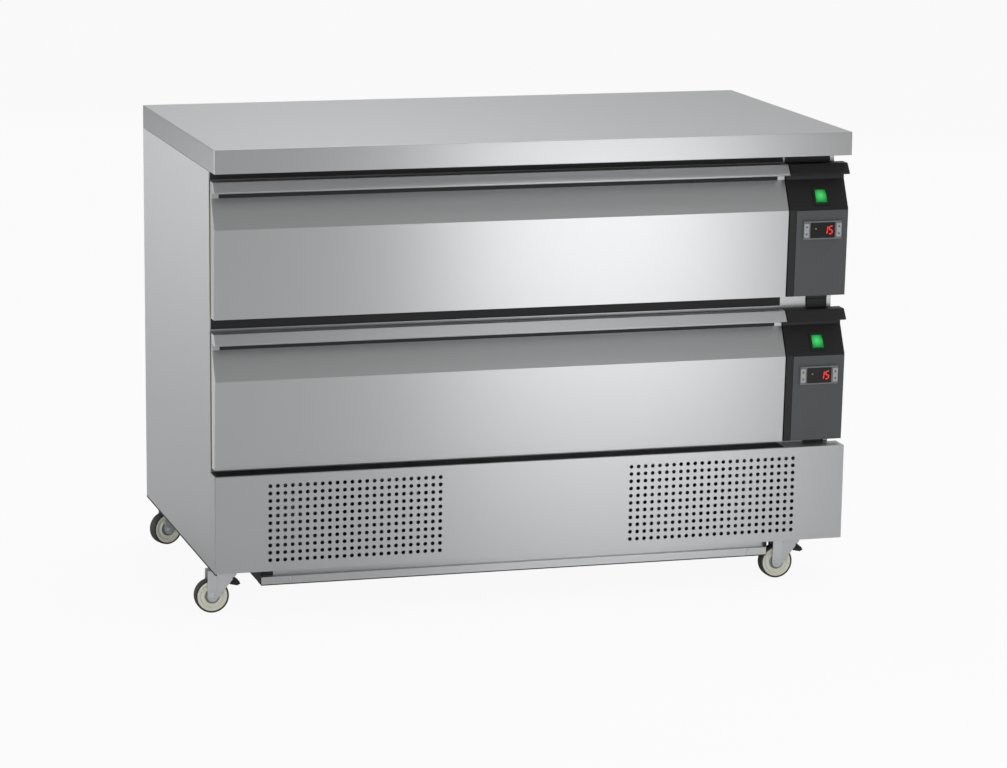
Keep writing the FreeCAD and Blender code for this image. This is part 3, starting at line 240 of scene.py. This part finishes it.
# Temperature displays: red seven-segment digits behind each window, a small amber lamp, and arrow marks on the
# keys. The digits lean to the right and glow evenly. They show a number only, as on any such display.
front_y0 = cad_low.y
crease_rise, face_setback, face_run = 169 * mm, 18 * mm, 9 * mm
face_lean = math.atan2(face_run, crease_rise)
unit_drop = 39 * mm
window_face, key_face = 4.86 * mm, 5.81 * mm
digit_size, stroke, slant, glow_depth = (6.4 * mm, 15 * mm), 2.2 * mm, 0.14, 0.1 * mm
lamp_place, lamp_radius = (-14 * mm, 3 * mm), 1.6 * mm
key_offset, arrow_tip, arrow_foot, arrow_half, print_depth = 33 * mm, 9.5 * mm, 5.5 * mm, 2.4 * mm, 0.08 * mm


def make_piece(name, points, faces, material, slot, body, stands_for=(), closed=True):
    """Mesh from points in the frame's metres, riding on a body, shown in place of the CAD pieces named."""
    mesh = bpy.data.meshes.new(name)
    mesh.from_pydata(np.asarray(points).reshape(-1, 3).tolist(), [], faces)
    if closed:
        shell = bmesh.new()
        shell.from_mesh(mesh)
        bmesh.ops.remove_doubles(shell, verts=shell.verts, dist=0.001 * mm)
        bmesh.ops.recalc_face_normals(shell, faces=shell.faces)
        shell.to_mesh(mesh)
        shell.free()
    mesh.materials.append(material)
    piece = bpy.data.objects.new(name, mesh)
    bpy.context.scene.collection.objects.link(piece)
    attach(piece, body)
    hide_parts(*stands_for)
    return piece


def arc_ring(radius, steps=16):
    """Points round a full circle about the origin."""
    t = np.arange(steps) * 2 * math.pi / steps
    return np.stack([radius * np.cos(t), radius * np.sin(t)], 1)


def on_face(points, level):
    """(along, up the face, out of it) points on the leaning lower face of a control housing, in the frame."""
    x, up, out = np.asarray(points, float).T
    y = front_y0 + face_setback - up * math.sin(face_lean) - out * math.cos(face_lean)
    z = level + up * math.cos(face_lean) - out * math.sin(face_lean)
    return np.stack([x, y, z], 1)


def bars(shapes, out, thickness):
    """Flat bars, each a ring of (along, up) corners, raised by a thickness."""
    points, faces = [], []
    for ring in shapes:
        n, first = len(ring), len(points)
        points += [(u, v, out) for u, v in ring] + [(u, v, out + thickness) for u, v in ring]
        faces += [[first + k, first + (k + 1) % n, first + (k + 1) % n + n, first + k + n] for k in range(n)]
        faces += [[first + k for k in range(n)][::-1], [first + n + k for k in range(n)]]
    return points, faces


def digit(segments):
    """Segments of one digit as slanted bars: a top, b and c right, d foot, e and f left, g middle.

    An upright bar reaches 0.6 of half a stroke past its ends, so that it almost meets the level ones.
    """
    w, h, t = digit_size[0] / 2, digit_size[1] / 2, stroke / 2
    past = t * 0.6
    lines = {"a": ((-w, h), (w, h)), "b": ((w, h), (w, 0)), "c": ((w, 0), (w, -h)), "d": ((-w, -h), (w, -h)),
             "e": ((-w, 0), (-w, -h)), "f": ((-w, h), (-w, 0)), "g": ((-w, 0), (w, 0))}
    rings = []
    for letter in segments:
        (x0, z0), (x1, z1) = lines[letter]
        if z0 == z1:
            ring = [(x0 + t, z0 - t), (x1 - t, z1 - t), (x1 - t, z1 + t), (x0 + t, z0 + t)]
        else:
            ring = [(x0 - t, z1 + past), (x0 + t, z1 + past), (x0 + t, z0 - past), (x0 - t, z0 - past)]
        rings.append([(x + slant * z, z) for x, z in ring])
    return rings


red_glow, _ = new_material("red display segments", {"Base Color": linear("#3A0606"), "Roughness": 0.4,
                                                    "Emission Color": linear("#FF2A22"),
                                                    "Emission Strength": 1.2})
amber_glow, _ = new_material("amber lamp", {"Base Color": linear("#3A2A06"), "Roughness": 0.4,
                                            "Emission Color": linear("#B08A2A"), "Emission Strength": 0.6})
mark_ink = plain_material("dark key print", "#3A3B3D", 0.6)
for floor_name in ("upper", "lower"):
    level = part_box(f"{floor_name}_drawer_front")[0].z
    unit_low, unit_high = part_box(f"{floor_name}_controller")
    middle = (unit_low.x + unit_high.x) / 2
    centre = crease_rise - unit_drop
    shapes = []
    for offset, segments in ((6.5 * mm, "bc"), (16.5 * mm, "afgcd")):
        for ring in digit(segments):
            shapes.append([(middle + offset + u, centre + v) for u, v in ring])
    points, faces = bars(shapes, window_face, glow_depth)
    make_piece(f"{floor_name}_display_digits", on_face(points, level), faces, red_glow, "window", "cabinet")
    lamp_ring = [(middle + lamp_place[0] + u, centre + lamp_place[1] + v) for u, v in arc_ring(lamp_radius)]
    points, faces = bars([lamp_ring], window_face, glow_depth)
    make_piece(f"{floor_name}_display_lamp", on_face(points, level), faces, amber_glow, "window", "cabinet")
    for side, sign in (("left", -1), ("right", 1)):
        key_x = middle + sign * key_offset
        arrows = []
        for up in (1, -1):
            foot_line = centre + up * arrow_foot
            arrows.append([(key_x - arrow_half, foot_line), (key_x + arrow_half, foot_line),
                           (key_x, centre + up * arrow_tip)])
        points, faces = bars(arrows, key_face, print_depth)
        make_piece(f"{floor_name}_{side}_key_marks", on_face(points, level), faces, mark_ink, "key_grey",
                   f"{floor_name}_{side}_key_pad")


# Plinth: a stainless sheet that leans 5 mm forward at its top, folded back 45 mm there and at its right end.
# Two fields of 7.8 mm holes are punched through it at a pitch of 14.3 mm, 24 across and 11 up.
def hole_cells(centres, pitch, radius, sides=16):
    """Square cells with a round hole each: every spoke runs at its own angle from circle to square edge."""
    angle = np.arange(sides) * 2 * math.pi / sides
    spoke = np.stack([np.cos(angle), np.sin(angle)], 1)
    edge = spoke / np.abs(spoke).max(1, keepdims=True) * pitch / 2
    cells = np.stack([np.tile(spoke * radius, (len(centres), 1, 1)), np.tile(edge, (len(centres), 1, 1))], 1)
    points = (cells + centres[:, None, None, :]).reshape(-1, 2)
    k = np.arange(sides)
    quad = np.stack([k, k + sides, (k + 1) % sides + sides, (k + 1) % sides], 1)
    faces = (quad[None] + np.arange(len(centres))[:, None, None] * sides * 2).reshape(-1, 4)
    return points, faces.tolist()


plinth_low, plinth_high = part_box("plinth_panel")
plinth_width, plinth_rise = plinth_high.x - plinth_low.x, plinth_high.z - plinth_low.z
pitch, hole_radius, columns, rows = 14.3 * mm, 3.9 * mm, 24, 11
field_margin, first_hole, lean, sheet = 101 * mm, 3.3 * mm, 5 * mm, 1.0 * mm
field_x = [field_margin + first_hole, plinth_width - field_margin - first_hole - pitch * (columns - 1)]
field_z = (plinth_rise - pitch * (rows - 1)) / 2
grid_x = np.concatenate([first + pitch * np.arange(columns) for first in field_x])
grid_z = field_z + pitch * np.arange(rows)
cell_centres = np.stack(np.meshgrid(grid_x, grid_z, indexing="ij"), -1).reshape(-1, 2)
flat, plinth_faces = hole_cells(cell_centres, pitch, hole_radius)
flat = flat.tolist()
# The spokes meet a cell's edge at its corners, its middle and 22.5 degrees from the middle.
edge_steps = np.array([-1, -math.tan(math.pi / 8), 0, math.tan(math.pi / 8), 1]) * pitch / 2
edge_z = np.unique(np.round((grid_z[:, None] + edge_steps).ravel(), 7))
edge_x = np.unique(np.round((grid_x[:, None] + edge_steps).ravel(), 7))
foot, head = edge_z[0], edge_z[-1]
sides_x = [field_x[0] - pitch / 2, field_x[0] + pitch * (columns - 0.5),
           field_x[1] - pitch / 2, field_x[1] + pitch * (columns - 0.5)]


def add_face(corners):
    """Adds one many-sided face of the flat sheet, its corners given anticlockwise as seen from the front."""
    start = len(flat)
    flat.extend([list(corner) for corner in corners])
    plinth_faces.append(list(range(start, start + len(corners))))


def upright(x, order):
    """Points up the edge of a field, or down it where order is -1."""
    return [(x, z) for z in edge_z[::order]]


add_face([(0, 0), (plinth_width, 0), (plinth_width, foot)] + [(x, foot) for x in edge_x[::-1]] + [(0, foot)])
add_face([(0, head)] + [(x, head) for x in edge_x] + [(plinth_width, head), (plinth_width, plinth_rise),
                                                     (0, plinth_rise)])
add_face([(0, foot)] + upright(sides_x[0], 1) + [(0, head)])
add_face([(sides_x[1], foot)] + upright(sides_x[2], 1) + upright(sides_x[1], -1)[:-1])
add_face([(sides_x[3], foot), (plinth_width, foot), (plinth_width, head)] + upright(sides_x[3], -1)[:-1])
flat = np.array(flat)
front_y = plinth_low.y + lean * (1 - flat[:, 1] / plinth_rise)
sheet_points = np.stack([plinth_low.x + flat[:, 0], front_y, plinth_low.z + flat[:, 1]], 1).tolist()
back_y, start = plinth_high.y, len(sheet_points)
left_x, right_x, low_z, high_z = plinth_low.x, plinth_high.x, plinth_low.z, plinth_high.z
sheet_points += [(left_x, plinth_low.y, high_z), (right_x, plinth_low.y, high_z), (right_x, back_y, high_z),
                 (left_x, back_y, high_z), (right_x, plinth_low.y + lean, low_z), (right_x, back_y, low_z),
                 (right_x, back_y, high_z), (right_x, plinth_low.y, high_z)]
plinth_faces += [[start, start + 1, start + 2, start + 3], [start + 4, start + 5, start + 6, start + 7]]
plinth = make_piece("punched_plinth", sheet_points, plinth_faces, bright_steel, "stainless", "cabinet",
                    ["plinth_panel"], closed=False)
soften(plinth, 1.2 * mm)
wall = plinth.modifiers.new("sheet", "SOLIDIFY")
wall.thickness = sheet
wall.offset = -1
finish_nodes(["under_tray"], bright_steel, 0.4 * mm)


# Black strips of painted shade: dark strips set where shade falls, on the frame's rails between the drawers and
# over the plinth, one along the tray's lower edge with plates on its ends and a block at its corner, one under
# the left side panel's edge and one in each finger pocket. Extruded and left dull, so they read as the dark
# lines of shade between the bright sheets.
def box_shape(low, high):
    """Eight corners of an upright box, and its six faces."""
    corners = np.array([(x, y, z) for x in (low[0], high[0]) for y in (low[1], high[1])
                        for z in (low[2], high[2])])
    return corners, [[0, 1, 3, 2], [4, 6, 7, 5], [0, 4, 5, 1], [2, 3, 7, 6], [0, 2, 6, 4], [1, 5, 7, 3]]


# Painted shade: one dull black for every strip below, each standing for shade in a gap or hollow.
shade_strip_black = plain_material("black strip of painted shade", "#141415", 0.55)
tray_low, tray_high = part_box("under_tray")
side_low, side_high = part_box("side_panel_left")
upper_low, upper_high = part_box("upper_drawer_front")
lower_low, lower_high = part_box("lower_drawer_front")
rail_face, worktop_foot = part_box("front_frame")[0].y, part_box("worktop")[0].z
rail_left, rail_right = lower_low.x + 1.5 * mm, lower_high.x
thin = 1 * mm
tray_front = tray_low.y + 3 * mm
ledge_front, ledge_rise, corner_shade_width = tray_front + 13 * mm, 14.2 * mm, 25 * mm
side_shade_rise, side_shade_width = 3.5 * mm, 3 * mm
# Painted shade: each box is a black strip or plate set where a gap, an end or an edge lies in shade.
shade_strips = {
    "head_rail_strip": ((rail_left, rail_face - thin, upper_high.z + 1 * mm),
                        (rail_right, rail_face, worktop_foot - 0.5 * mm)),
    "middle_rail_strip": ((rail_left, rail_face - thin, lower_high.z + 5 * mm),
                          (rail_right, rail_face, upper_low.z - 2 * mm)),
    "plinth_head_strip": ((rail_left, plinth_low.y + 6 * mm, plinth_high.z),
                          (rail_right, rail_face - thin, plinth_high.z + thin)),
    "tray_edge_trim": ((tray_low.x, tray_front, tray_low.z - 2 * mm),
                       (tray_high.x, tray_front + 30 * mm, tray_low.z)),
    "tray_left_cap": ((tray_low.x - thin, tray_front, tray_low.z), (tray_low.x, tray_high.y, tray_high.z)),
    "tray_right_cap": ((tray_high.x, tray_front, tray_low.z), (tray_high.x + thin, tray_high.y, tray_high.z)),
    "tray_corner_pad": ((tray_low.x, ledge_front - thin, tray_low.z + ledge_rise),
                        (tray_low.x + corner_shade_width, ledge_front, tray_high.z)),
    "side_foot_trim": ((side_low.x, side_low.y, side_low.z - side_shade_rise),
                       (side_low.x + side_shade_width, side_high.y, side_low.z)),
}
for name, (low, high) in shade_strips.items():
    make_piece(name, *box_shape(low, high), shade_strip_black, "black_plastic", "cabinet")
# Painted shade: a black strip on the upper wall of each finger pocket stands for the lip's shade, stopping 15
# mm short of each end.
recess_wall, lip_height, pocket_shade_end, pocket_shade_rise = front_y0 + 37 * mm, 236.5 * mm, 15 * mm, 12 * mm
for floor_name in ("upper", "lower"):
    front_low, front_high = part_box(f"{floor_name}_drawer_front")
    lip_foot = front_low.z + lip_height
    low = (front_low.x + pocket_shade_end, recess_wall - 0.6 * mm, lip_foot - pocket_shade_rise)
    high = (front_high.x - pocket_shade_end, recess_wall, lip_foot)
    make_piece(f"{floor_name}_pocket_shade_strip", *box_shape(low, high), shade_strip_black, "gasket_rubber",
               f"{floor_name}_drawer")


# Casters: zinc plated pressed forks on a top plate, pale polyamide wheels with a dark tread, black brake
# pedals. Each leg is a raised strip, rounded about the axle and held by a hexagon nut, with a web that leans
# inwards. Zinc plating is bright but not a mirror, cast polyamide has a faint gloss, and the tread is dull.
zinc = plain_material("bright zinc plating", "#DCDEE0", 0.4, 0.8)
polyamide = plain_material("cast polyamide", "#EDEDDC", 0.45)
hub_steel = plain_material("zinc plated bearing tube", "#8E9196", 0.45, 0.6)
# The tread is drawn dark grey all round each wheel.
dark_tread = plain_material("dark grey tread", "#3C3C3B", 0.6)
finish_nodes(["caster_plates"], zinc, 0.5 * mm)
finish_nodes(["front_left_pedal", "front_right_pedal"], black_abs, 0.8 * mm)


def turned_shape(profile, steps=64):
    """Closed profile of (along, radius) turned about the Y axis: point (radius cos t, along, radius sin t)."""
    t = np.arange(steps) * 2 * math.pi / steps
    along, radius = profile[:, :1], profile[:, 1:]
    points = np.stack([radius * np.cos(t), along + 0 * t, radius * np.sin(t)], -1).reshape(-1, 3)
    i, j = np.meshgrid(np.arange(len(profile)), np.arange(steps), indexing="ij")
    below, right = (i + 1) % len(profile), (j + 1) % steps
    faces = np.stack([i * steps + j, i * steps + right, below * steps + right, below * steps + j], -1)
    return points, faces.reshape(-1, 4).tolist()


def slab(outline, low, high, axis=1):
    """Outline carried from low to high along Y, or along Z where axis is 2, with flat ends."""
    n = len(outline)
    points = np.concatenate([np.insert(outline, axis, low, axis=1), np.insert(outline, axis, high, axis=1)])
    i = np.arange(n)
    sides = np.stack([i, (i + 1) % n, (i + 1) % n + n, i + n], 1)[:, ::-1]
    return points, sides.tolist() + [list(range(n)), list(range(2 * n - 1, n - 1, -1))]


def arc(centre, radius, start, end, steps=12):
    """Points on a circle from one angle to another, in degrees from the first axis towards the second."""
    t = np.radians(np.linspace(start, end, steps + 1))
    return np.stack([centre[0] + radius * np.cos(t), centre[1] + radius * np.sin(t)], 1)


def join(*shapes):
    """One point array and face list from several."""
    points, faces, count = [], [], 0
    for shape_points, shape_faces in shapes:
        points.append(shape_points)
        faces += [[k + count for k in face] for face in shape_faces]
        count += len(shape_points)
    return np.concatenate(points), faces


def turn_to(points, swivel, degrees):
    """Turns local points about +Z and moves them to the swivel's place."""
    c, s = math.cos(math.radians(degrees)), math.sin(math.radians(degrees))
    x, y, z = points.T
    return np.stack([x * c - y * s + swivel[0], x * s + y * c + swivel[1], z], 1)


def smooth(piece, degrees=40):
    """Shades the piece smooth except at edges sharper than the angle."""
    piece.data.polygons.foreach_set("use_smooth", np.ones(len(piece.data.polygons), bool))
    piece.data.set_sharp_from_angle(angle=math.radians(degrees))


trail, axle_height, leg_inner, leg_sheet = 24 * mm, 32.5 * mm, 11.5 * mm, 2.5 * mm
crown_low, crown_high, crown_radius = 78.6 * mm, 82.6 * mm, 23 * mm
leg_back, leg_front, leg_top, web_foot = -33 * mm, 23 * mm, crown_high - 0.5 * mm, 27.5 * mm
crease, web_lean, strip_step, foot_radius = -15 * mm, 0.1, 0.8 * mm, 10 * mm
nut_radius, nut_height, bolt_radius, bolt_end = 6.5 * mm, 3.5 * mm, 3.2 * mm, 5.5 * mm
axle = (-trail, axle_height)
outer = leg_inner + leg_sheet
disc = arc((0, 0), crown_radius, 0, 352.5, 47)
strip = np.concatenate([[(leg_back, leg_top), (crease, leg_top)], arc(axle, foot_radius, -20, -180)])
web = np.array([(crease, leg_top), (leg_front, leg_top), (leg_front, 72 * mm), (crease, web_foot)])
nut = arc(axle, nut_radius, 330, 30, 5)
bolt = arc(axle, bolt_radius, 345, 0, 23)
# Half profiles (half width, radius): hub tube, wheel disc with its recess, and tread.
hub_half = np.array([(11.2, 4.05), (11.2, 9), (9.4, 10), (9.2, 14.2), (5, 14.4)]) * mm
wheel_half = np.array([(5, 14), (8.4, 14.4), (7.6, 16), (5.8, 17.5), (5.4, 20.5), (9.2, 22.6), (9.8, 23.4),
                       (10, 24.4), (10, 28.6)]) * mm
tread_half = np.array([(8, 28), (10.1, 28.5), (10.1, 31.2), (9.3, 32.1), (7, 32.4), (4, 32.5)]) * mm


def mirrored(half):
    """Whole wheel profile from the half of it on one side of its middle."""
    return np.concatenate([half * (-1, 1), half[::-1]])


def leaning_web(side):
    """Web of one leg: y = side * (distance from the wheel's middle - web_lean * distance past the crease)."""
    points, faces = slab(web, *sorted((side * leg_inner, side * outer)))
    points[:, 1] -= side * web_lean * (points[:, 0] - crease)
    return points, faces


fork_points, fork_faces = join(
    slab(disc, crown_low, crown_high, axis=2),
    slab(strip, -outer - strip_step, -leg_inner), slab(strip, leg_inner, outer + strip_step),
    leaning_web(-1), leaning_web(1),
    slab(nut, -outer - nut_height, -outer), slab(nut, outer, outer + nut_height),
    slab(bolt, -outer - bolt_end, outer + bolt_end))
for name in ("front_left", "front_right", "rear_left", "rear_right"):
    joint = next(j for j in frame["joints"] if j["name"] == f"{name}_swivel_turn")
    spin = next(j for j in frame["joints"] if j["name"] == f"{name}_wheel_turn")
    swivel = joint["pos_m"]
    degrees = math.degrees(math.atan2(-spin["axis"][0], spin["axis"][1]))
    fork = make_piece(f"{name}_pressed_fork", turn_to(fork_points, swivel, degrees), fork_faces, zinc, "zinc",
                      f"{name}_swivel", [f"{name}_fork"])
    soften(fork, 0.4 * mm, 2)
    for label, half, material in (("disc", wheel_half, polyamide), ("hub", hub_half, hub_steel),
                                  ("tread", tread_half, dark_tread)):
        points, faces = turned_shape(mirrored(half))
        points = points + (-trail, 0, axle_height)
        stands_for = [f"{name}_wheel"] if label == "disc" else []
        round_piece = make_piece(f"{name}_wheel_{label}", turn_to(points, swivel, degrees), faces, material,
                                 "wheel_polyamide", f"{name}_roller", stands_for)
        smooth(round_piece)


# Studio: a pale floor and a white surround, both at full white for the camera's own rays only.
# An overhead panel, a low one at the right, two fills and one behind light the sheets, and the camera stands
# where the photograph was taken from.
floor_paint, floor_surface = new_material("pale studio floor", {"Base Color": linear("#F2F2F2"),
                                                                "Roughness": 0.9})
floor_ray = add_node(floor_paint, "ShaderNodeLightPath")
floor_share = add_node(floor_paint, "ShaderNodeMath", {"operation": "MULTIPLY"},
                       {0: floor_ray.outputs["Is Camera Ray"]})
floor_share.inputs[1].default_value = 0.93
floor_white = add_node(floor_paint, "ShaderNodeEmission", {"Color": linear("#FFFFFF"), "Strength": 1.0})
floor_mix = add_node(floor_paint, "ShaderNodeMixShader", {}, {"Fac": floor_share.outputs["Value"]})
floor_paint.node_tree.links.new(floor_surface.outputs["BSDF"], floor_mix.inputs[1])
floor_paint.node_tree.links.new(floor_white.outputs["Emission"], floor_mix.inputs[2])
floor_paint.node_tree.links.new(floor_mix.outputs["Shader"],
                                floor_paint.node_tree.nodes["Material Output"].inputs["Surface"])
reach = 14.0
floor_mesh = bpy.data.meshes.new("studio_floor")
floor_mesh.from_pydata([(-reach, -reach, 0), (reach, -reach, 0), (reach, reach, 0), (-reach, reach, 0)], [],
                       [(0, 1, 2, 3)])
floor_mesh.materials.append(floor_paint)
studio_floor = bpy.data.objects.new("studio_floor", floor_mesh)
bpy.context.scene.collection.objects.link(studio_floor)

world = bpy.data.worlds.new("white surround")
bpy.context.scene.world = world
world.use_nodes = True
background = world.node_tree.nodes["Background"]
background.inputs["Color"].default_value = linear("#FFFFFF")
world_ray = add_node(world, "ShaderNodeLightPath")
world_strength = add_node(world, "ShaderNodeMapRange", {"To Min": 0.32, "To Max": 1.0},
                          {"Value": world_ray.outputs["Is Camera Ray"]})
world.node_tree.links.new(world_strength.outputs["Result"], background.inputs["Strength"])


def soft_light(name, place, target, width, height, power):
    """Rectangular lamp at place that faces target."""
    lamp = bpy.data.lights.new(name, "AREA")
    lamp.shape = "RECTANGLE"
    lamp.size = width
    lamp.size_y = height
    lamp.energy = power
    item = bpy.data.objects.new(name, lamp)
    item.location = place
    item.rotation_euler = (Vector(target) - Vector(place)).to_track_quat("-Z", "Y").to_euler()
    bpy.context.scene.collection.objects.link(item)


soft_light("overhead panel", (0.6, 0.4, 3.6), (0.3, 0.2, 0.5), 3.2, 1.6, 34)
soft_light("low right panel", (0.72, -2.2, 0.38), (0.2, 0, 0.38), 0.72, 0.76, 3.8)
soft_light("left fill", (-3.6, 2.2, 0.6), (0, 0, 0.5), 2.6, 1.1, 16)
soft_light("front fill", (-4.0, -7.5, 2.2), (0, 0, 0.3), 4.0, 3.0, 150)
soft_light("rear panel", (2.6, 6.0, 2.0), (0, 0, 0.8), 10.0, 3.0, 30)

camera_data = bpy.data.cameras.new("camera")
camera_data.lens = 3801.66 / 1007 * 36
camera_data.clip_end = 100
camera = bpy.data.objects.new("camera", camera_data)
turn, tilt, roll = -0.2795, 0.1938, 0.0083
camera.matrix_world = Matrix.Translation((-1.9971, -7.1210, 1.8074)) @ (
    Matrix.Rotation(turn, 4, "Z") @ Matrix.Rotation(math.pi / 2 - tilt, 4, "X") @ Matrix.Rotation(roll, 4, "Z"))
bpy.context.scene.collection.objects.link(camera)
bpy.context.scene.camera = camera
bpy.context.scene.view_settings.view_transform = "Standard"
